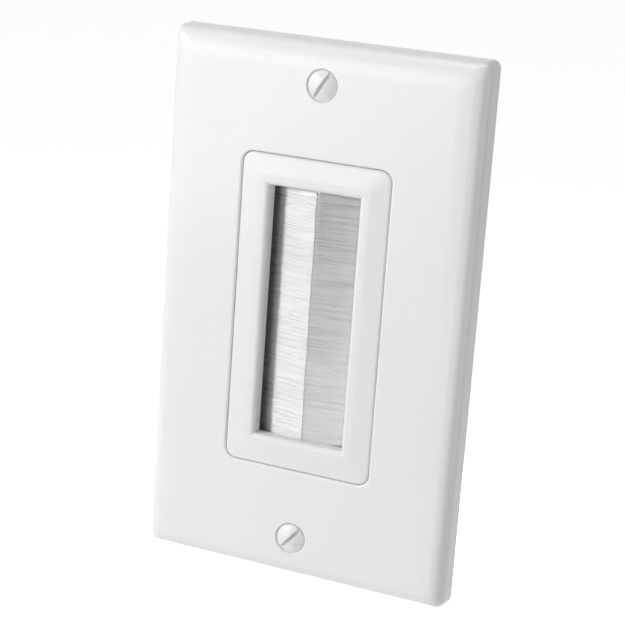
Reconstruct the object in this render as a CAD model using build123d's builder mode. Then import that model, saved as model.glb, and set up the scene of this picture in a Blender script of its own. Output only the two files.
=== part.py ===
from build123d import *
from math import cos, radians, sin, tan
import os

# Brush wall plate, millimetres. The wall is the plane Y = 0, the front faces -Y, +Z is up, and
# the origin is the centre of the plate on the wall. Levels are distances in front of the wall.

# Wall plate
plate_width = 69.85
plate_height = 114.3
plate_depth = 6.3
plate_corner_radius = 1.7
plate_draft = 3.0
plate_edge_radius = 3.2
plate_skin = 2.2
plate_side_wall = 2.0
plate_inner_edge_radius = 1.2
crown_width = 3.0
crown_angle = 6.0
edge_steps = 6
crown_steps = 2
plate_boss_radius = 4.6
plate_boss_height = 0.7
rib_thickness = 1.2
rib_pitch = 22.0
rib_count = 3

# Margins that place the rows of screws and the insert inside the plate
plate_screw_margin = 8.73
screw_row_gap = 6.77
box_screw_margin = 8.45
side_margin = 18.425

# Insert frame
insert_corner_radius = 2.4
insert_wall = 1.45
insert_clearance = 0.12
bezel_rise = 0.3
bezel_fall = 0.45
bezel_band_width = 4.2
bezel_ring_width = 2.2
bezel_thickness = 3.0
bezel_ring_corner_radius = 1.8
opening_edge_radius = 1.0
seam_edge_radius = 0.5
ear_width = 20.0
ear_end_margin = 4.0
ear_thickness = 1.5
ear_corner_radius = 5.0

# Brush strips
channel_width = 3.8
channel_depth = 2.6
channel_sheet = 0.4
channel_bend_radius = 0.7
channel_overlap = 0.8
core_wire_diameter = 1.0
bristle_tilt = 7.5
bristle_end_gap = 0.08
bristle_clearance = 0.15
bristle_seam_gap = 0.08
bristle_tip_spread = 0.5
layer_count = 3
layer_gap = 0.08
tuft_pitch = 0.62
tuft_gap = 0.12
tuft_root = 2.2
fold_clearance = 0.05

# Brush retainer
retainer_thickness = 2.0
retainer_clearance = 0.1
retainer_corner_radius = 1.2
duct_wall = 1.3
duct_length = 5.0
duct_corner_radius = 1.5
duct_mouth_chamfer = 0.5

# Fasteners
plate_screw_diameter = 3.4
plate_screw_length = 9.5
plate_screw_head_diameter = 6.3
plate_screw_head_angle = 82.0
plate_screw_dome = 1.0
countersink_margin = 0.38
slot_width = 0.75
slot_depth = 1.1
slot_angle_top = 58.6
slot_angle_bottom = 49.8
box_screw_diameter = 3.5
box_screw_neck_diameter = 2.8
box_screw_length = 19.0
box_screw_head_diameter = 6.9
box_screw_head_clearance = 0.15
ear_boss_clearance = 0.32
box_slot_length = 6.6
keeper_size = 8.0
keeper_thickness = 0.8
keeper_corner_radius = 1.0
retainer_screw_diameter = 2.0
retainer_screw_head_diameter = 3.6
retainer_screw_head_height = 1.2
retainer_screw_grip = 2.0
retainer_boss_radius = 1.9
screw_clearance = 0.15
thread_clearance = 0.03

# Worked-out sizes, from the plate inwards
plate_screw_spacing = plate_height - 2 * plate_screw_margin
box_screw_spacing = plate_screw_spacing - 2 * screw_row_gap
insert_height = box_screw_spacing - 2 * box_screw_margin
insert_width = plate_width - 2 * side_margin
opening_width = insert_width - 2 * (bezel_band_width + bezel_ring_width)
opening_height = insert_height - 2 * (bezel_band_width + bezel_ring_width)
channel_length = opening_height + 2 * channel_overlap
ear_length = plate_screw_spacing + 2 * ear_end_margin

plate_opening_width = insert_width + 2 * insert_clearance
plate_opening_height = insert_height + 2 * insert_clearance
plate_opening_radius = insert_corner_radius + insert_clearance
plate_ceiling = plate_depth - plate_skin
rib_level = ear_thickness + insert_clearance
crown_radius = crown_width / sin(radians(crown_angle))
crown_rise = crown_radius * (1 - cos(radians(crown_angle)))
draft = radians(plate_draft)
crown = radians(crown_angle)
edge_centre_level = plate_depth - crown_rise - plate_edge_radius * cos(crown)
wall_level = edge_centre_level + plate_edge_radius * sin(draft)
edge_centre = Vector(wall_level * tan(draft) + plate_edge_radius * cos(draft), edge_centre_level)
crown_centre = edge_centre + Vector(sin(crown), -cos(crown)) * (crown_radius - plate_edge_radius)

bezel_level = plate_depth + bezel_rise
bezel_edge_level = bezel_level - bezel_fall
bezel_back = bezel_level - bezel_thickness
pocket_width = insert_width - 2 * insert_wall
pocket_height = insert_height - 2 * insert_wall
pocket_corner_radius = insert_corner_radius - insert_wall
retainer_level = bezel_back - channel_depth
retainer_back = retainer_level - retainer_thickness

tilt = radians(bristle_tilt)
pack_level = bezel_back - channel_depth / 2
channel_back = pocket_width / 2 - fold_clearance
channel_mouth = channel_back - channel_width
core_wire_place = channel_back - channel_depth / 2
half_root = channel_depth / 2 - channel_sheet - fold_clearance
hidden_reach = channel_mouth - opening_width / 2
half_tip = (channel_depth / 2 - bristle_clearance) * cos(tilt) - hidden_reach * sin(tilt)
layer_pitch = (2 * half_tip + layer_gap) / layer_count

retainer_screw_z = channel_length / 2 + retainer_clearance + retainer_boss_radius
retainer_screw_x = channel_back - retainer_boss_radius - retainer_clearance
plate_screw_z = plate_screw_spacing / 2
box_screw_z = box_screw_spacing / 2
ear_boss_level = plate_ceiling - plate_boss_height
ear_boss_radius = screw_row_gap - box_screw_head_diameter / 2 - ear_boss_clearance
box_screw_head_height = ear_boss_level - ear_thickness - box_screw_head_clearance
countersink_radius = plate_screw_head_diameter / 2 + countersink_margin
plate_screw_sink = (countersink_margin - screw_clearance) / tan(radians(plate_screw_head_angle / 2))
plate_screw_head_level = plate_depth - plate_screw_sink

os.makedirs("parts", exist_ok=True)


def level(distance):
    """The plane parallel to the wall at this distance in front of it."""
    return Plane.XZ.offset(distance)


def save(piece, name):
    """Label a finished piece and write it."""
    piece.part.label = name
    export_step(piece.part, "parts/" + name + ".step")


def plate_outline(inset):
    """The plate's outline at the wall, moved in by this much."""
    RectangleRounded(plate_width - 2 * inset, plate_height - 2 * inset, plate_corner_radius)


# Wall plate: its drafted sides roll over an arc into a low crown and a flat front. Each of these
# bands is lofted through outlines that move in and forward round its arc.
with BuildPart() as plate_cavity:
    with BuildSketch(Plane.XZ):
        RectangleRounded(
            plate_width - 2 * plate_side_wall,
            plate_height - 2 * plate_side_wall,
            plate_corner_radius,
        )
    extrude(amount=plate_ceiling, taper=plate_draft)
    fillet(plate_cavity.faces().sort_by(Axis.Y)[0].edges(), plate_inner_edge_radius)

with BuildPart() as wall_plate:
    with BuildSketch(Plane.XZ):
        plate_outline(0)
    with BuildSketch(level(wall_level)):
        plate_outline(wall_level * tan(draft))
    loft(ruled=True)
    for centre, radius, steep, gentle, steps in (
        (edge_centre, plate_edge_radius, 90 - plate_draft, crown_angle, edge_steps),
        (crown_centre, crown_radius, crown_angle, 0, crown_steps),
    ):
        for i in range(steps + 1):
            slope = radians(steep + (gentle - steep) * i / steps)
            with BuildSketch(level(centre.Y + radius * cos(slope))):
                plate_outline(centre.X - radius * sin(slope))
        loft()
    add(plate_cavity.part, mode=Mode.SUBTRACT)

    with BuildSketch(level(rib_level)):
        RectangleRounded(
            plate_opening_width + 2 * rib_thickness,
            plate_opening_height + 2 * rib_thickness,
            plate_opening_radius + rib_thickness,
        )
        with GridLocations(0, rib_pitch, 1, rib_count):
            Rectangle(plate_width - plate_side_wall, rib_thickness)
        with GridLocations(ear_width + 4 * rib_thickness, 0, 2, 1):
            Rectangle(rib_thickness, plate_height - plate_side_wall)
    extrude(amount=plate_ceiling - rib_level)
    with BuildSketch(level(ear_boss_level)):
        with GridLocations(0, plate_screw_spacing, 1, 2):
            Circle(plate_boss_radius)
    extrude(amount=plate_ceiling - ear_boss_level)

    with BuildSketch(Plane.XZ):
        RectangleRounded(plate_opening_width, plate_opening_height, plate_opening_radius)
    extrude(amount=plate_depth, mode=Mode.SUBTRACT)
    front = wall_plate.faces().filter_by(Axis.Y).sort_by(Axis.Y)[0]
    fillet(front.inner_wires()[0].edges(), seam_edge_radius)
    with Locations(level(plate_depth)):
        with GridLocations(0, plate_screw_spacing, 1, 2):
            CounterSinkHole(
                plate_screw_diameter / 2 + screw_clearance,
                countersink_radius,
                counter_sink_angle=plate_screw_head_angle,
            )
save(wall_plate, "wall_plate")

# Insert frame: bezel, tube behind it and two ears on the wall
with BuildPart() as insert_frame:
    with BuildSketch(level(bezel_edge_level)):
        RectangleRounded(insert_width, insert_height, insert_corner_radius)
    extrude(amount=retainer_back - bezel_edge_level)
    with BuildSketch(level(bezel_edge_level)):
        RectangleRounded(insert_width, insert_height, insert_corner_radius)
    with BuildSketch(level(bezel_level)):
        RectangleRounded(
            opening_width + 2 * bezel_ring_width,
            opening_height + 2 * bezel_ring_width,
            bezel_ring_corner_radius,
        )
    loft(ruled=True)
    walls = insert_frame.faces().filter_by(lambda face: abs(face.normal_at().Y) < 0.5)
    fillet([wall.edges().sort_by(Axis.Y)[0] for wall in walls], seam_edge_radius)
    with BuildSketch(Plane.XZ):
        RectangleRounded(ear_width, ear_length, ear_corner_radius)
    extrude(amount=ear_thickness)
    with BuildSketch(level(ear_thickness)):
        with GridLocations(0, plate_screw_spacing, 1, 2):
            Circle(ear_boss_radius)
    extrude(amount=ear_boss_level - ear_thickness)
    with BuildSketch(level(bezel_back)):
        RectangleRounded(pocket_width, pocket_height, pocket_corner_radius)
    extrude(amount=retainer_back - bezel_back, mode=Mode.SUBTRACT)
    with BuildSketch(level(retainer_level)):
        with GridLocations(2 * retainer_screw_x, 2 * retainer_screw_z, 2, 2):
            Circle(retainer_boss_radius)
    extrude(amount=bezel_back - retainer_level)
    with BuildSketch(level(retainer_level)):
        with GridLocations(2 * retainer_screw_x, 2 * retainer_screw_z, 2, 2):
            Circle(retainer_screw_diameter / 2 + thread_clearance)
    extrude(amount=retainer_screw_grip + thread_clearance, mode=Mode.SUBTRACT)
    with BuildSketch(level(bezel_level)):
        Rectangle(opening_width, opening_height)
    extrude(amount=-bezel_level, mode=Mode.SUBTRACT)
    ring = insert_frame.faces().filter_by(Axis.Y).sort_by(Axis.Y)[0]
    fillet(ring.inner_wires()[0].edges(), opening_edge_radius)
    with BuildSketch(Plane.XZ):
        with GridLocations(0, plate_screw_spacing, 1, 2):
            Circle(plate_screw_diameter / 2 + thread_clearance)
        with GridLocations(0, box_screw_spacing, 1, 2):
            SlotOverall(box_slot_length, box_screw_diameter + 2 * screw_clearance)
    extrude(amount=ear_boss_level, mode=Mode.SUBTRACT)
save(insert_frame, "insert_frame")

# Brush retainer: a flat frame inside the insert, with a duct that runs into the wall
with BuildPart() as brush_retainer:
    with BuildSketch(level(retainer_back)):
        RectangleRounded(
            pocket_width - 2 * retainer_clearance,
            pocket_height - 2 * retainer_clearance,
            retainer_corner_radius,
        )
    extrude(amount=retainer_thickness)
    with BuildSketch(level(retainer_back)):
        RectangleRounded(
            opening_width + 2 * duct_wall, opening_height + 2 * duct_wall, duct_corner_radius
        )
    extrude(amount=-duct_length)
    with BuildSketch(level(retainer_level)):
        Rectangle(opening_width, opening_height)
        with GridLocations(2 * retainer_screw_x, 2 * retainer_screw_z, 2, 2):
            Circle(retainer_screw_diameter / 2 + screw_clearance)
    extrude(amount=-retainer_thickness - duct_length, mode=Mode.SUBTRACT)
    duct_end = brush_retainer.faces().filter_by(Axis.Y).sort_by(Axis.Y)[-1]
    chamfer(duct_end.inner_wires()[0].edges(), duct_mouth_chamfer)
save(brush_retainer, "brush_retainer")


def brush_channel(side):
    """The folded metal channel, open towards the seam; side is -1 on the left, 1 on the right."""
    with BuildPart() as channel:
        with BuildSketch(Plane.XY.offset(-channel_length / 2)):
            with Locations((side * (channel_mouth + channel_width / 2), -pack_level)):
                Rectangle(channel_width, channel_depth)
            with Locations((side * (channel_mouth + channel_width / 2 - channel_sheet), -pack_level)):
                Rectangle(channel_width, channel_depth - 2 * channel_sheet, mode=Mode.SUBTRACT)
        extrude(amount=channel_length)
        folds = channel.edges().filter_by(Axis.Z).sort_by(Axis.X)
        outer = folds[-2:] if side > 0 else folds[:2]
        fillet(outer, channel_bend_radius)
    return channel


def core_wire(side):
    """The wire that the filaments are folded round."""
    with BuildPart() as wire:
        with BuildSketch(Plane.XY.offset(-channel_length / 2)):
            with Locations((side * core_wire_place, -pack_level)):
                Circle(core_wire_diameter / 2)
        extrude(amount=channel_length)
    return wire


def comb_outline(reach, length, phase):
    """The outline of one layer of tufts: uneven pointed tips, with narrow gaps between them."""
    count = round(length / tuft_pitch)
    pitch = length / count
    points = [(tuft_root / 4, -length / 2)]
    for i in range(count):
        low = -length / 2 + i * pitch
        tip = reach - bristle_tip_spread * (0.5 + 0.5 * sin(2.4 * i * i + phase))
        points.append((tip - 2 * tuft_gap, low + tuft_gap / 2))
        points.append((tip, low + pitch * (0.5 + 0.2 * sin(1.7 * i + phase))))
        points.append((tip - 2 * tuft_gap, low + pitch - tuft_gap / 2))
        if i < count - 1:
            points.append((tuft_root, low + pitch))
    points.append((tuft_root / 4, length / 2))
    return points


def bristle_strip(side, phase):
    """One filament pack: folded round its wire, then three layers of tufts tilted to the seam."""
    length = opening_height - 2 * bristle_end_gap
    along = Vector(-side * cos(tilt), -sin(tilt), 0)
    forward = Vector(side * sin(tilt), -cos(tilt), 0)
    bend = Vector(side * channel_mouth, -pack_level, 0)
    reach = (channel_mouth - bristle_seam_gap) / cos(tilt) - half_tip * tan(tilt)
    fan_front = bend + along * (tuft_root / 2) + forward * half_tip
    fan_back = bend + along * (tuft_root / 2) - forward * half_tip
    with BuildPart() as strip:
        with BuildSketch(Plane.XY.offset(-length / 2)):
            with BuildLine():
                Polyline(
                    (side * core_wire_place, -pack_level - half_root),
                    (side * channel_mouth, -pack_level - half_root),
                    (fan_front.X, fan_front.Y),
                    (fan_back.X, fan_back.Y),
                    (side * channel_mouth, -pack_level + half_root),
                    (side * core_wire_place, -pack_level + half_root),
                )
                ThreePointArc(
                    (side * core_wire_place, -pack_level + half_root),
                    (side * (core_wire_place + half_root), -pack_level),
                    (side * core_wire_place, -pack_level - half_root),
                )
            make_face()
            with Locations((side * core_wire_place, -pack_level)):
                Circle(core_wire_diameter / 2 + thread_clearance, mode=Mode.SUBTRACT)
        extrude(amount=length)
        for layer in range(layer_count):
            height = layer * layer_pitch - half_tip
            plane = Plane(origin=bend + forward * height, x_dir=along, z_dir=forward)
            with BuildSketch(plane):
                with BuildLine():
                    Polyline(*comb_outline(reach, length, phase + 2.0 * layer), close=True)
                make_face()
            extrude(amount=layer_pitch - layer_gap)
    return strip


for side, name, phase in ((-1, "left", 0.0), (1, "right", 1.1)):
    save(brush_channel(side), name + "_channel")
    save(core_wire(side), name + "_core_wire")
    save(bristle_strip(side, phase), name + "_bristles")


def plate_screw(height, slot_angle):
    """Slotted oval-head machine screw that holds the plate to an ear."""
    head_radius = plate_screw_head_diameter / 2
    shank_radius = plate_screw_diameter / 2
    cone = (head_radius - shank_radius) / tan(radians(plate_screw_head_angle / 2))
    rim = -plate_screw_head_level
    crest = rim - plate_screw_dome
    tip = crest + plate_screw_length
    with BuildPart() as screw:
        with BuildSketch(Plane.YZ):
            with BuildLine():
                TangentArc((crest, height), (rim, height + head_radius), tangent=(0, 1))
                Polyline(
                    (rim, height + head_radius),
                    (rim + cone, height + shank_radius),
                    (tip - shank_radius / 2, height + shank_radius),
                    (tip, height + shank_radius / 2),
                    (tip, height),
                    (crest, height),
                )
            make_face()
        revolve(axis=Axis((0, 0, height), (0, 1, 0)))
        with BuildSketch(Plane.XZ.offset(-crest)):
            with Locations((0, height)):
                Rectangle(plate_screw_head_diameter, slot_width, rotation=slot_angle)
        extrude(amount=-slot_depth, mode=Mode.SUBTRACT)
    return screw


def box_screw(height):
    """Slotted pan-head machine screw for the wall box, with a thin neck under its head."""
    neck_length = ear_thickness + keeper_thickness + screw_clearance
    with BuildPart() as screw:
        with BuildSketch(level(ear_thickness)):
            with Locations((0, height)):
                Circle(box_screw_head_diameter / 2)
        extrude(amount=box_screw_head_height)
        chamfer(screw.faces().sort_by(Axis.Y)[0].edges(), box_screw_head_height / 3)
        with BuildSketch(level(ear_thickness + box_screw_head_height)):
            with Locations((0, height)):
                Rectangle(box_screw_head_diameter, slot_width)
        extrude(amount=-box_screw_head_height / 2, mode=Mode.SUBTRACT)
        with BuildSketch(level(ear_thickness)):
            with Locations((0, height)):
                Circle(box_screw_neck_diameter / 2)
        extrude(amount=-neck_length)
        with BuildSketch(level(ear_thickness - neck_length)):
            with Locations((0, height)):
                Circle(box_screw_diameter / 2)
        extrude(amount=neck_length - box_screw_length)
        chamfer(screw.faces().sort_by(Axis.Y)[-1].edges(), box_screw_diameter / 8)
    return screw


def screw_keeper(height):
    """Square card washer behind an ear that keeps the box screw in its slot."""
    with BuildPart() as keeper:
        with BuildSketch(Plane.XZ):
            with Locations((0, height)):
                RectangleRounded(keeper_size, keeper_size, keeper_corner_radius)
                Circle(box_screw_neck_diameter / 2 + thread_clearance, mode=Mode.SUBTRACT)
        extrude(amount=-keeper_thickness)
    return keeper


def retainer_screw(across, height):
    """Cross-recessed self-tapping screw, driven from the back of the retainer into a boss."""
    shank_length = retainer_thickness + retainer_screw_grip
    with BuildPart() as screw:
        with BuildSketch(level(retainer_back)):
            with Locations((across, height)):
                Circle(retainer_screw_head_diameter / 2)
        extrude(amount=-retainer_screw_head_height)
        chamfer(screw.faces().sort_by(Axis.Y)[-1].edges(), retainer_screw_head_height / 3)
        with BuildSketch(level(retainer_back - retainer_screw_head_height)):
            with Locations((across, height)):
                Rectangle(retainer_screw_diameter, retainer_screw_diameter / 4)
                Rectangle(retainer_screw_diameter / 4, retainer_screw_diameter)
        extrude(amount=retainer_screw_head_height / 2, mode=Mode.SUBTRACT)
        with BuildSketch(level(retainer_back)):
            with Locations((across, height)):
                Circle(retainer_screw_diameter / 2)
        extrude(amount=shank_length)
        chamfer(screw.faces().sort_by(Axis.Y)[0].edges(), retainer_screw_diameter / 4)
    return screw


for side, name, slot_angle in ((1, "top", slot_angle_top), (-1, "bottom", slot_angle_bottom)):
    save(plate_screw(side * plate_screw_z, slot_angle), "plate_screw_" + name)
    save(box_screw(side * box_screw_z), "box_screw_" + name)
    save(screw_keeper(side * box_screw_z), "screw_keeper_" + name)

for up, row in ((1, "upper"), (-1, "lower")):
    for side, column in ((-1, "left"), (1, "right")):
        screw = retainer_screw(side * retainer_screw_x, up * retainer_screw_z)
        save(screw, "retainer_screw_" + row + "_" + column)
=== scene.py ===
import math
import random

import bpy
import bmesh
from mathutils import Matrix, Vector, noise


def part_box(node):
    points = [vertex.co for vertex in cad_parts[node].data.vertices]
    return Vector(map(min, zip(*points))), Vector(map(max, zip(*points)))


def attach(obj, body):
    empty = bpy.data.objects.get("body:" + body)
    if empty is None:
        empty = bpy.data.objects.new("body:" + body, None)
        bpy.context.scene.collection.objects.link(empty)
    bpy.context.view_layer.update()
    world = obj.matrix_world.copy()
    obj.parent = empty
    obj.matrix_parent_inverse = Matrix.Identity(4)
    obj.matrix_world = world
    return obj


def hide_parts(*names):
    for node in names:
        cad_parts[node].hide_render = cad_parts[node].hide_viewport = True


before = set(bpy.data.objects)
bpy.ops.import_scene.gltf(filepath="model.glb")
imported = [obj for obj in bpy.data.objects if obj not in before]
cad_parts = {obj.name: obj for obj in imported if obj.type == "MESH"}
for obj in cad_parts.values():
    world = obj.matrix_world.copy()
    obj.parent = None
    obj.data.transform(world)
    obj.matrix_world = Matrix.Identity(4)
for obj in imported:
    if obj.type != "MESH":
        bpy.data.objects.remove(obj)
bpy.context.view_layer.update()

# Metres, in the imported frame: the wall is the plane Y = 0, the front faces -Y, +Z is up.

MM = 0.001
BODY = "root"

# The camera, as a turn about the plate's centre, a roll, a distance and a small sideways step
IMAGE_SIZE = 625
FOCAL_PIXELS = 1944.28
SENSOR_WIDTH = 36.0
CAMERA_AZIMUTH = math.radians(23.672)
CAMERA_ELEVATION = math.radians(15.214)
CAMERA_ROLL = math.radians(4.092)
CAMERA_DISTANCE = 0.405897
CAMERA_STEP_RIGHT = -0.001178
CAMERA_STEP_UP = 0.000116

# Light levels: 1 is the level at which a white surface that faces the lamp renders white
WORLD_LEVEL = 0.0
BACKGROUND_LEVEL = 1.0

# The floor lies well below the plate, and its glow makes it look white
FLOOR_HEIGHT = -0.30
FLOOR_SIZE = 8.0
FLOOR_COLOUR = (0.80, 0.80, 0.80, 1)
FLOOR_GLOW = 0.97

# Filaments: their number and form. A branch is one half of a filament, in front of the core wire
# or behind it; the loop round the wire joins them, and its angles are in degrees. The golden share
# spreads the depths evenly. A strip is given by its side (-1 for the left, 1 for the right), its
# name and the seed of its random numbers.
FILAMENT_DIAMETER = 0.13 * MM
FILAMENT_SIDES = 3
STRANDS_PER_STRIP = 3450
BRANCH_STEPS = 2
LOOP_ANGLES = (0, 60, 120, 180)
GOLDEN_SHARE = 0.618034
DEPTH_JITTER = 0.02
STRIPS = ((-1, "left", 11), (1, "right", 23))

# How the filaments lie. Of a pair, the first is for the outer layer and the second for the middle
# of the strip, and a dictionary is by side. The right strip lies further back by its drop. Crowding
# above 1 gathers filaments at the ends of a strip. Frizz is how far a filament strays by chance;
# more of it is added towards the middle of the strip.
BRANCH_THICKNESS = 0.95 * MM
ROOT_OFFSETS = (0.24 * MM, 0.10 * MM)
FOLD_RADII = (0.80 * MM, 0.58 * MM)
RIGHT_DROP = 0.10 * MM
END_CROWDING = 1.03
END_REACH = 0.07 * MM
FRIZZ = {-1: 0.05 * MM, 1: 0.03 * MM}
MIDDLE_FRIZZ = 0.08 * MM
BOW_SHARE = 0.7
LEAST_RUFFLE = 0.02 * MM
DRIFT_POWER = 1.5

# Smooth waves along a strip: tufts lean together, clumps rise together and the seam wanders. Each
# has a length, a rate of change with depth, and an offset that keeps it apart from the others.
TUFTS = {"length": 2.2 * MM, "with_depth": 1.6, "offset": 7.0}
CLUMPS = {"length": 0.7 * MM, "with_depth": 2.0, "offset": 40.0}
SEAM_WAVES = {"length": 9 * MM, "with_depth": 0.0, "offset": 3.0}
SIDE_OFFSET = 20
TUFT_LEAN = 0.10 * MM
TUFT_RUFFLE = 0.06 * MM
CLUMP_RISE = 0.34 * MM
SEAM_WAVE = 0.16 * MM

# The seam, and how far the tips end short of it; below 0 they reach past it. Down to the overhang's
# depth the left strip's tips end at the seam, and the right strip's reach past it, mostly behind
# them. The notch is a gap in front at the right strip's upper end.
SEAM_SHIFT = 0.03 * MM
SEAM_LEAN = -0.0045
OVERHANG_DEPTH = 0.30 * MM
OUTER_GAPS = {-1: (0.03 * MM, -0.03 * MM), 1: (-0.10 * MM, -0.25 * MM)}
INNER_GAPS = {-1: (0.46 * MM, 0.74 * MM), 1: (0.06 * MM, 0.26 * MM)}
NOTCH_GAPS = (0.70 * MM, 0.80 * MM)
NOTCH_HEIGHT = 0.85 * MM

# The filaments' colour lies between a dark and a light one, in tufts and with a contrast from
# strand to strand. Clarity is the share that shines through. The colour is multiplied by two
# painted tones. One is painted shade: it darkens the filaments towards their roots, falling to the
# root's painted shade tone over its span. That span is counted from a line that is shifted to the
# right, so it starts sooner on the left strip. The other is painted light and shade on the right
# strip alone: painted shade at the top and painted light at the bottom, going from the bottom tone
# to the top tone over its reach on both sides of the centre.
FILAMENT_DARK = (0.81, 0.81, 0.815)
FILAMENT_LIGHT = (0.91, 0.91, 0.915)
STRAND_CONTRAST = 0.3
FILAMENT_CLARITY = 0.06
ROOT_PAINTED_SHADE_SPAN = (7.9 * MM, 9.9 * MM)
ROOT_PAINTED_SHADE_SHIFT = 0.6 * MM
ROOT_PAINTED_SHADE_TONE = 0.22
TOP_PAINTED_SHADE_TONE = 0.75
BOTTOM_PAINTED_LIGHT_TONE = 1.07
PAINTED_LIGHT_REACH = 22 * MM
PAINTED_LIGHT_RIGHT_STARTS = (-0.5 * MM, 1.0 * MM)

# Screws. The scuffs' angle lies about halfway between those of the two slots. The thread's steps
# are those of one turn, and its profile gives shares of the pitch and of the depth.
SCUFF_ANGLE = math.radians(54)
THREAD_PITCH = 0.794 * MM
THREAD_DEPTH = 0.43 * MM
THREAD_STEPS = 28
THREAD_PROFILE = ((0.0, 0), (0.12, 0), (0.50, 1), (0.62, 1), (1.0, 0))
CUT_MARGIN = 0.01 * MM
THREADS = {
    "plate_screw": {
        "slot": "painted_screw", "radius": 1.70 * MM, "length": 6.83 * MM, "tip": 0.85 * MM
    },
    "box_screw": {
        "slot": "plated_screw", "radius": 1.75 * MM, "length": 16.55 * MM, "tip": 0.44 * MM
    },
}

# Lamps: name, azimuth, elevation, distance, width, height and level. They are a key from the left,
# two panels that the glossy face and edges mirror, and fills all round.
LAMPS = (
    ("key", -44, 18, 0.8, 0.12, 0.12, 0.65),
    ("low_panel", -36, -6.5, 0.8, 0.60, 0.13, 0.085),
    ("level_panel", -27, 1.5, 0.8, 0.35, 0.05, 0.07),
    ("front_right", 36, -12, 0.8, 0.50, 0.40, 0.10),
    ("right_fill", 66, 0, 0.8, 0.70, 0.80, 0.19),
    ("right_rear", 98, 0, 0.8, 0.30, 0.60, 0.12),
    ("overhead", 0, 86, 0.8, 0.50, 0.40, 0.28),
    ("upper_front", -25, 70, 0.8, 0.40, 0.30, 0.08),
    ("rear", -155, -7, 0.8, 0.75, 0.38, 0.50),
)


# Small helpers for node trees

def add_node(tree, kind, inputs=None, **settings):
    """Add a node. An input is given a value, or an output socket that is linked to it."""
    node = tree.nodes.new(kind)
    for name, value in settings.items():
        setattr(node, name, value)
    for name, value in (inputs or {}).items():
        if isinstance(value, bpy.types.NodeSocket):
            tree.links.new(value, node.inputs[name])
        else:
            node.inputs[name].default_value = value
    return node


def new_material(name):
    """A node material with only a Principled shader; returns material, tree and shader."""
    material = bpy.data.materials.new(name)
    material.use_nodes = True
    tree = material.node_tree
    tree.nodes.clear()
    shader = add_node(tree, "ShaderNodeBsdfPrincipled")
    output = add_node(tree, "ShaderNodeOutputMaterial")
    tree.links.new(shader.outputs["BSDF"], output.inputs["Surface"])
    return material, tree, shader


def noise_of(tree, scale, detail=3.0, stretch=(1, 1, 1), roughness=0.5):
    """Noise in object coordinates, about 0 to 1; scale is in cycles a metre."""
    where = add_node(tree, "ShaderNodeTexCoord").outputs["Object"]
    mapping = add_node(tree, "ShaderNodeMapping", {"Vector": where, "Scale": stretch})
    made = add_node(
        tree,
        "ShaderNodeTexNoise",
        {
            "Vector": mapping.outputs["Vector"],
            "Scale": scale,
            "Detail": detail,
            "Roughness": roughness,
        },
    )
    return made.outputs["Fac"]


def ramp(tree, factor, stops):
    """A colour ramp; stops are (position, grey or colour)."""
    made = add_node(tree, "ShaderNodeValToRGB", {"Fac": factor})
    elements = made.color_ramp.elements
    for i, (position, colour) in enumerate(stops):
        element = elements[i] if i < 2 else elements.new(position)
        element.position = position
        element.color = (*colour, 1) if isinstance(colour, tuple) else (colour, colour, colour, 1)
    return made.outputs["Color"]


def in_range(tree, factor, low, high, start=0.3, end=0.7):
    """A number from low to high as factor goes from start to end."""
    made = add_node(
        tree,
        "ShaderNodeMapRange",
        {"Value": factor, "From Min": start, "From Max": end, "To Min": low, "To Max": high},
    )
    return made.outputs["Result"]


def calculate(tree, operation, *values):
    """The result of a maths node."""
    made = add_node(tree, "ShaderNodeMath", dict(enumerate(values)), operation=operation)
    return made.outputs[0]


def bump(tree, shader, height, distance):
    """Bump from a height of 0 to 1, where 1 is distance in metres."""
    made = add_node(tree, "ShaderNodeBump", {"Height": height, "Distance": distance})
    tree.links.new(made.outputs["Normal"], shader.inputs["Normal"])


# Materials

def moulded_plastic(name, dark, light, roughness, grain):
    """White moulded plastic: faint flow clouds, uneven gloss and a very fine skin."""
    material, tree, shader = new_material(name)
    clouds = noise_of(tree, 45, detail=2.0)
    tree.links.new(ramp(tree, clouds, [(0.3, dark), (0.7, light)]), shader.inputs["Base Color"])
    gloss = noise_of(tree, 160, detail=5.0)
    tree.links.new(
        in_range(tree, gloss, roughness - 0.008, roughness + 0.008), shader.inputs["Roughness"]
    )
    skin = noise_of(tree, 5000, detail=3.0, roughness=0.6)
    bump(tree, shader, skin, grain)
    shader.inputs["IOR"].default_value = 1.53
    return material


def filament_painted_light(tree):
    """The painted light and shade that the filaments' colour is multiplied by: painted shade that
    falls towards the roots, and painted shade at the top and painted light at the bottom of the
    right strip."""
    where = add_node(tree, "ShaderNodeTexCoord").outputs["Object"]
    place = add_node(tree, "ShaderNodeSeparateXYZ", {0: where}).outputs
    across = calculate(tree, "ABSOLUTE", calculate(tree, "SUBTRACT", place["X"], ROOT_PAINTED_SHADE_SHIFT))
    # Painted shade: the filaments get darker towards their roots.
    painted_root_shade = in_range(tree, across, 1.0, ROOT_PAINTED_SHADE_TONE, *ROOT_PAINTED_SHADE_SPAN)
    # Painted light and shade on the right strip only: darker at the top, lighter at the bottom.
    painted_light_by_height = in_range(tree, place["Z"], BOTTOM_PAINTED_LIGHT_TONE, TOP_PAINTED_SHADE_TONE, -PAINTED_LIGHT_REACH, PAINTED_LIGHT_REACH)
    painted_light_right_mask = in_range(tree, place["X"], 0.0, 1.0, *PAINTED_LIGHT_RIGHT_STARTS)
    painted_light_right_only = add_node(tree, "ShaderNodeMix", {"Factor": painted_light_right_mask, "A": 1.0, "B": painted_light_by_height})
    return painted_root_shade, painted_light_right_only.outputs["Result"]


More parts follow.
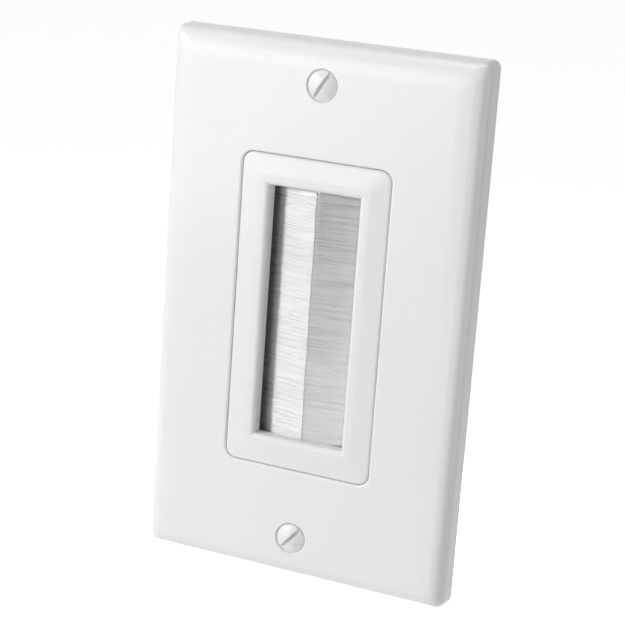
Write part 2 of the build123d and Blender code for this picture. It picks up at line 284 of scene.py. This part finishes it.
def nylon_filament():
    """Clear-white nylon with a silky gloss. Its colour changes in soft tufts and from strand to
    strand. It also carries painted shade towards the roots and painted light and shade up the right
    strip."""
    material, tree, shader = new_material("nylon_filament")
    island = add_node(tree, "ShaderNodeNewGeometry").outputs["Random Per Island"]
    tufts = noise_of(tree, 420, detail=4.0, stretch=(0.06, 0.06, 1), roughness=0.6)
    both = calculate(tree, "MULTIPLY_ADD", island, STRAND_CONTRAST, tufts)
    colour = ramp(tree, both, [(0.35, FILAMENT_DARK), (0.95, FILAMENT_LIGHT)])
    # The colour is multiplied by painted shade at the roots and painted light up the right strip.
    for tone in filament_painted_light(tree):
        toned = add_node(tree, "ShaderNodeVectorMath", {0: colour, 1: tone}, operation="MULTIPLY")
        colour = toned.outputs[0]
    tree.links.new(colour, shader.inputs["Base Color"])
    draw_marks = noise_of(tree, 900, detail=3.0, stretch=(0.2, 1, 1))
    tree.links.new(in_range(tree, draw_marks, 0.225, 0.265), shader.inputs["Roughness"])
    shader.inputs["IOR"].default_value = 1.6
    shader.inputs["Specular IOR Level"].default_value = 1.0
    glow = add_node(tree, "ShaderNodeBsdfTranslucent", {"Color": colour})
    blend = add_node(
        tree, "ShaderNodeMixShader", {0: FILAMENT_CLARITY, 1: shader.outputs[0], 2: glow.outputs[0]}
    )
    output = next(node for node in tree.nodes if node.type == "OUTPUT_MATERIAL")
    tree.links.new(blend.outputs[0], output.inputs["Surface"])
    return material


def painted_metal(name):
    """White paint over a slotted screw head: thin spots, and scuffs that run along the slot."""
    material, tree, shader = new_material(name)
    where = add_node(tree, "ShaderNodeTexCoord").outputs["Object"]
    along_slot = add_node(
        tree,
        "ShaderNodeMapping",
        {"Vector": where, "Rotation": (0, -SCUFF_ANGLE, 0), "Scale": (9, 1, 1)},
        vector_type="TEXTURE",
    ).outputs["Vector"]
    scuffs = add_node(
        tree, "ShaderNodeTexNoise", {"Vector": along_slot, "Scale": 2600, "Detail": 4.0}
    ).outputs["Fac"]
    cover = noise_of(tree, 900, detail=5.0, roughness=0.65)
    worn = calculate(tree, "MULTIPLY_ADD", scuffs, 0.55, cover)
    paint = ramp(
        tree,
        worn,
        [(0.52, (0.66, 0.66, 0.66)), (0.62, (0.78, 0.78, 0.78)), (0.90, (0.86, 0.86, 0.86))],
    )
    tree.links.new(paint, shader.inputs["Base Color"])
    tree.links.new(in_range(tree, worn, 0.52, 0.38, 0.6, 0.9), shader.inputs["Roughness"])
    bump(tree, shader, scuffs, 0.006 * MM)
    shader.inputs["IOR"].default_value = 1.5
    return material


def bare_metal(name, dark, light, low, high, stretch, scale):
    """Bare or plated metal with drawn or rolled streaks."""
    material, tree, shader = new_material(name)
    streaks = noise_of(tree, scale, detail=5.0, stretch=stretch, roughness=0.6)
    tree.links.new(ramp(tree, streaks, [(0.3, dark), (0.7, light)]), shader.inputs["Base Color"])
    tree.links.new(in_range(tree, streaks, low, high), shader.inputs["Roughness"])
    bump(tree, shader, streaks, 0.004 * MM)
    shader.inputs["Metallic"].default_value = 1.0
    return material


def fibre_card():
    """Pressed fibre card: matted fibres in two browns, dull and slightly rough."""
    material, tree, shader = new_material("keeper_card")
    fibres = noise_of(tree, 1500, detail=6.0, stretch=(1, 1, 0.4), roughness=0.7)
    browns = [(0.3, (0.36, 0.26, 0.17)), (0.55, (0.52, 0.39, 0.26)), (0.75, (0.62, 0.50, 0.36))]
    tree.links.new(ramp(tree, fibres, browns), shader.inputs["Base Color"])
    shader.inputs["Roughness"].default_value = 0.85
    bump(tree, shader, fibres, 0.03 * MM)
    return material


def make_materials():
    """All materials, by the record's slot names."""
    return {
        "plate_plastic": moulded_plastic(
            "plate_plastic", (0.845, 0.845, 0.850), (0.865, 0.865, 0.868), 0.22, 0.0005 * MM
        ),
        "insert_plastic": moulded_plastic(
            "insert_plastic", (0.825, 0.825, 0.830), (0.845, 0.845, 0.849), 0.25, 0.0006 * MM
        ),
        "retainer_plastic": moulded_plastic(
            "retainer_plastic", (0.74, 0.74, 0.745), (0.80, 0.80, 0.805), 0.50, 0.012 * MM
        ),
        "nylon_filament": nylon_filament(),
        "painted_screw": painted_metal("painted_screw"),
        "channel_metal": bare_metal(
            "channel_metal", (0.62, 0.62, 0.63), (0.78, 0.78, 0.79), 0.28, 0.45, (1, 1, 0.05), 1800
        ),
        "wire_steel": bare_metal(
            "wire_steel", (0.45, 0.45, 0.46), (0.62, 0.62, 0.63), 0.28, 0.42, (1, 1, 0.04), 2600
        ),
        "plated_screw": bare_metal(
            "plated_screw", (0.40, 0.40, 0.42), (0.56, 0.56, 0.57), 0.34, 0.48, (1, 0.2, 1), 2200
        ),
        "keeper_card": fibre_card(),
    }


# Camera, background and lamps

def direction(azimuth, elevation):
    """The unit vector from the plate towards a place; azimuth 0 is straight in front of it."""
    return Vector((
        math.sin(azimuth) * math.cos(elevation),
        -math.cos(azimuth) * math.cos(elevation),
        math.sin(elevation),
    ))


def make_camera():
    """The photograph's view."""
    back = direction(CAMERA_AZIMUTH, CAMERA_ELEVATION)
    level_right = Vector((math.cos(CAMERA_AZIMUTH), math.sin(CAMERA_AZIMUTH), 0))
    roll = Matrix.Rotation(CAMERA_ROLL, 3, back)
    right = roll @ level_right
    up = roll @ back.cross(level_right)
    data = bpy.data.cameras.new("camera")
    data.sensor_width = SENSOR_WIDTH
    data.lens = SENSOR_WIDTH * FOCAL_PIXELS / IMAGE_SIZE
    data.clip_start = 0.01
    camera = bpy.data.objects.new("camera", data)
    place = back * CAMERA_DISTANCE + right * CAMERA_STEP_RIGHT + up * CAMERA_STEP_UP
    turn = Matrix((right, up, back)).transposed()
    camera.matrix_world = Matrix.Translation(place) @ turn.to_4x4()
    bpy.context.scene.collection.objects.link(camera)
    bpy.context.scene.camera = camera


def seen_directly(tree):
    """1 for the rays that show the background: seen, reflected or through a surface."""
    path = add_node(tree, "ShaderNodeLightPath").outputs
    reflected = calculate(tree, "MAXIMUM", path["Is Camera Ray"], path["Is Glossy Ray"])
    return calculate(tree, "MAXIMUM", reflected, path["Is Transmission Ray"])


def make_world():
    """White where it is seen; it lights nothing else while WORLD_LEVEL is 0."""
    world = bpy.data.worlds.new("studio")
    bpy.context.scene.world = world
    world.use_nodes = True
    tree = world.node_tree
    tree.nodes.clear()
    strength = in_range(tree, seen_directly(tree), WORLD_LEVEL, BACKGROUND_LEVEL, 0.0, 1.0)
    background = add_node(
        tree, "ShaderNodeBackground", {"Color": (1, 1, 1, 1), "Strength": strength}
    )
    output = add_node(tree, "ShaderNodeOutputWorld")
    tree.links.new(background.outputs[0], output.inputs["Surface"])


def make_floor():
    """A plain pale floor, well below the plate: it takes light and shadow, and looks white."""
    mesh = bpy.data.meshes.new("floor")
    half = FLOOR_SIZE / 2
    corners = [(-half, -half), (half, -half), (half, half), (-half, half)]
    mesh.from_pydata([(x, y, FLOOR_HEIGHT) for x, y in corners], [], [(0, 1, 2, 3)])
    floor = bpy.data.objects.new("floor", mesh)
    bpy.context.scene.collection.objects.link(floor)
    material = bpy.data.materials.new("floor")
    material.use_nodes = True
    tree = material.node_tree
    tree.nodes.clear()
    paint = add_node(tree, "ShaderNodeBsdfDiffuse", {"Color": FLOOR_COLOUR})
    glow_level = in_range(tree, seen_directly(tree), 0.0, FLOOR_GLOW, 0.0, 1.0)
    glow = add_node(tree, "ShaderNodeEmission", {"Strength": glow_level})
    both = add_node(tree, "ShaderNodeAddShader", {0: paint.outputs[0], 1: glow.outputs[0]})
    output = add_node(tree, "ShaderNodeOutputMaterial")
    tree.links.new(both.outputs[0], output.inputs["Surface"])
    mesh.materials.append(material)


def make_softbox(name, azimuth, elevation, distance, width, height, level):
    """A rectangular lamp that faces the plate; its level is what white renders at, facing it."""
    data = bpy.data.lights.new(name, "AREA")
    data.shape = "RECTANGLE"
    data.size = width
    data.size_y = height
    data.energy = level * (math.pi * distance) ** 2
    lamp = bpy.data.objects.new(name, data)
    back = direction(math.radians(azimuth), math.radians(elevation))
    lamp.location = back * distance
    lamp.rotation_mode = "QUATERNION"
    lamp.rotation_quaternion = back.to_track_quat("Z", "Y")
    bpy.context.scene.collection.objects.link(lamp)


# Brush strips

def between(ends, share):
    """The value this share of the way from the first end to the second."""
    return ends[0] + (ends[1] - ends[0]) * share


def branch_points(strip, turn, root, tip, along, drift, bow):
    """One half of a strand from its tip to the core wire, as (across, forward, height): from the
    centre line, from the wall and up. Turn is 1 in front of the wire and -1 behind it."""
    points = []
    for i in range(BRANCH_STEPS + 1):
        share = 1 - i / BRANCH_STEPS
        across = between((strip["mouth"], tip[0]), share)
        forward = between((strip["pack"] + turn * root, tip[1]), share)
        height = along + drift * share ** DRIFT_POWER + bow * math.sin(math.pi * share)
        points.append((across, forward, height))
    return points


def tube(points, radius, sides, verts, faces):
    """Add a tube with flat sides along points to verts and faces; each section has a corner up."""
    first = len(verts)
    for i, point in enumerate(points):
        ahead = points[min(i + 1, len(points) - 1)]
        behind = points[max(i - 1, 0)]
        tangent = (ahead - behind).normalized()
        up = (Vector((0, 0, 1)) - tangent * tangent.z).normalized()
        out = tangent.cross(up)
        for k in range(sides):
            angle = 2 * math.pi * k / sides
            verts.append(point + radius * (math.cos(angle) * up + math.sin(angle) * out))
    for i in range(len(points) - 1):
        for k in range(sides):
            a = first + i * sides + k
            b = first + i * sides + (k + 1) % sides
            faces.append((a, b, b + sides, a + sides))
    last = first + (len(points) - 1) * sides
    faces.append(tuple(first + k for k in reversed(range(sides))))
    faces.append(tuple(last + k for k in range(sides)))


def wobble(wave, along, depth, side):
    """Smooth noise from about -1 to 1, at a height along a strip and a depth in it."""
    apart = wave["offset"] + SIDE_OFFSET * side
    return noise.noise(Vector((along / wave["length"], wave["with_depth"] * depth, apart)))


def tip_gap(strip, rng, along, turn, inside):
    """How far a strand ends short of the seam."""
    side = strip["side"]
    if side > 0 and turn > 0 and along > strip["top"] - NOTCH_HEIGHT:
        return rng.uniform(*NOTCH_GAPS)
    if turn > 0 and inside < OVERHANG_DEPTH:
        return rng.uniform(*OUTER_GAPS[side])
    return rng.uniform(*INNER_GAPS[side])


def strand(strip, rng, along, depth):
    """One filament: from its front tip, round the core wire and back to its rear tip; depth is 0
    in the outer layer and 1 in the middle of the strip."""
    side, half, frizz = strip["side"], FILAMENT_DIAMETER / 2, FRIZZ[strip["side"]]
    tuft = wobble(TUFTS, along, depth, side)
    clump = wobble(CLUMPS, along, depth, side)
    seam = SEAM_SHIFT + SEAM_LEAN * along + SEAM_WAVE * wobble(SEAM_WAVES, along, depth, side)
    halves = []
    for turn in (1, -1):
        lean = TUFT_LEAN * tuft + rng.gauss(0, frizz + MIDDLE_FRIZZ * depth)
        drift = max(strip["bottom"] + half - along, min(strip["top"] - half - along, lean))
        ruffle = TUFT_RUFFLE * abs(tuft) + rng.random() * (LEAST_RUFFLE + frizz)
        inside = depth ** 2 * BRANCH_THICKNESS + ruffle
        forward = strip["front"] - inside
        if turn < 0:
            forward = strip["front"] - 2 * BRANCH_THICKNESS + inside
        tip = (side * seam + tip_gap(strip, rng, along, turn, inside), forward)
        root = between(ROOT_OFFSETS, depth) + CLUMP_RISE * clump * (1 - depth)
        bow = rng.gauss(0, BOW_SHARE * frizz)
        halves.append(branch_points(strip, turn, root, tip, along, drift, bow))
    fold = between(FOLD_RADII, depth)
    loop = []
    for angle in LOOP_ANGLES:
        a = math.radians(angle)
        across = strip["wire"] + fold * math.sin(a)
        loop.append((across, strip["pack"] + fold * math.cos(a), along))
    path = halves[0] + loop + halves[1][::-1]
    return [Vector((side * across, -forward, height)) for across, forward, height in path]


def make_bristles(side, name, seed, materials):
    """A strip of filaments, each folded round the core wire with both ends at the seam."""
    rng = random.Random(seed)
    low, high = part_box(name + "_channel")
    solid_low, solid_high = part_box(name + "_bristles")
    wire_low, wire_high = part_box(name + "_core_wire")
    half = FILAMENT_DIAMETER / 2
    strip = {
        "side": side,
        "mouth": min(abs(low.x), abs(high.x)),
        "wire": abs(wire_low.x + wire_high.x) / 2,
        "pack": -(low.y + high.y) / 2,
        "front": -solid_low.y - half - (RIGHT_DROP if side > 0 else 0.0),
        "bottom": solid_low.z - END_REACH,
        "top": solid_high.z + END_REACH,
    }
    length = strip["top"] - strip["bottom"] - 2 * half
    verts, faces = [], []
    for i in range(STRANDS_PER_STRIP):
        share = 0.5 + ((i + rng.random()) / STRANDS_PER_STRIP - 0.5) * END_CROWDING
        along = strip["bottom"] + half + length * min(max(share, 0.0), 1.0)
        depth = (i * GOLDEN_SHARE + DEPTH_JITTER * rng.random()) % 1.0
        tube(strand(strip, rng, along, depth), half, FILAMENT_SIDES, verts, faces)
    faces_per_strand = len(faces) // STRANDS_PER_STRIP
    mesh = bpy.data.meshes.new(name + "_filaments")
    mesh.from_pydata(verts, [], faces)
    mesh.update()
    # The edges round the end caps are sharp, so that the shading doesn't bend along the last length
    for i, face in enumerate(mesh.polygons):
        face.use_smooth = i % faces_per_strand < faces_per_strand - 2
        if not face.use_smooth:
            for corner in face.loop_indices:
                mesh.edges[mesh.loops[corner].edge_index].use_edge_sharp = True
    mesh.materials.append(materials["nylon_filament"])
    piece = bpy.data.objects.new(name + "_filaments", mesh)
    bpy.context.scene.collection.objects.link(piece)
    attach(piece, BODY)
    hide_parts(name + "_bristles")


# Threads

def helix_band(shank, inner, outer, first, last, verts, faces):
    """One face of a thread, wound from the head to the tip: from radius first at the share inner
    of a pitch to radius last at the share outer. It is cut off at both ends of the shank."""
    turns = shank["length"] / THREAD_PITCH + 1
    start = len(verts)
    steps = int(turns * THREAD_STEPS)
    for i in range(steps + 1):
        angle = 2 * math.pi * i / THREAD_STEPS
        for share, radius in ((inner, first), (outer, last)):
            far = THREAD_PITCH * (i / THREAD_STEPS - 1 + share)
            far = min(max(far, 0.0), shank["length"])
            in_tip = max(0.0, far - (shank["length"] - shank["tip"]))
            taper = shank["radius"] - in_tip * shank["slope"]
            verts.append(on_shank(shank, min(radius, taper), angle, far))
    for i in range(steps):
        a = start + 2 * i
        corners = (a, a + 2, a + 3, a + 1)
        if len({round(verts[corner].y, 7) for corner in corners}) > 1:
            faces.append(corners)


def on_shank(shank, radius, angle, far):
    """A point round the shank's axis, this far from where the thread starts."""
    x, z = radius * math.sin(angle), radius * math.cos(angle)
    return Vector((shank["x"] + x, shank["start"] + far, shank["z"] + z))


def disc(shank, radius, far, verts, faces):
    """A round end face; it faces the tip."""
    start = len(verts)
    for i in range(THREAD_STEPS):
        verts.append(on_shank(shank, radius, 2 * math.pi * i / THREAD_STEPS, far))
    faces.append(tuple(range(start, start + THREAD_STEPS)))


def make_threads(kind, end, materials):
    """A copy of a screw whose plain shank is cut off and stands again as a real thread."""
    name = kind + "_" + end
    low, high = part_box(name)
    shank = dict(THREADS[kind])
    shank["start"] = high.y - shank["length"]
    shank["x"], shank["z"] = (low.x + high.x) / 2, (low.z + high.z) / 2
    shank["slope"] = min(1.0, THREAD_DEPTH / shank["tip"])
    crest = shank["radius"]
    verts, faces = [], []
    for (inner, first), (outer, last) in zip(THREAD_PROFILE, THREAD_PROFILE[1:]):
        radii = (crest - first * THREAD_DEPTH, crest - last * THREAD_DEPTH)
        helix_band(shank, inner, outer, *radii, verts, faces)
    smooth = len(faces)
    disc(shank, crest, 0.0, verts, faces)
    disc(shank, crest - shank["tip"] * shank["slope"], shank["length"], verts, faces)
    thread = bpy.data.meshes.new(name + "_thread")
    thread.from_pydata(verts, [], faces)
    for i, face in enumerate(thread.polygons):
        face.use_smooth = i < smooth
    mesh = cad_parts[name].data.copy()
    work = bmesh.new()
    work.from_mesh(mesh)
    cut = shank["start"] + CUT_MARGIN
    plain = [face for face in work.faces if max(v.co.y for v in face.verts) > cut]
    bmesh.ops.delete(work, geom=plain, context="FACES")
    work.from_mesh(thread)
    work.to_mesh(mesh)
    work.free()
    bpy.data.meshes.remove(thread)
    mesh.materials.clear()
    mesh.materials.append(materials[shank["slot"]])
    piece = bpy.data.objects.new(name + "_threaded", mesh)
    bpy.context.scene.collection.objects.link(piece)
    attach(piece, BODY)
    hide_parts(name)


materials = make_materials()
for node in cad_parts.values():
    for slot in node.material_slots:
        slot.material = materials[slot.material.name.split(".")[0]]

make_camera()
make_world()
make_floor()
for lamp in LAMPS:
    make_softbox(*lamp)
for side, name, seed in STRIPS:
    make_bristles(side, name, seed, materials)
for kind in THREADS:
    for end in ("top", "bottom"):
        make_threads(kind, end, materials)

bpy.context.scene.view_settings.view_transform = "Standard"
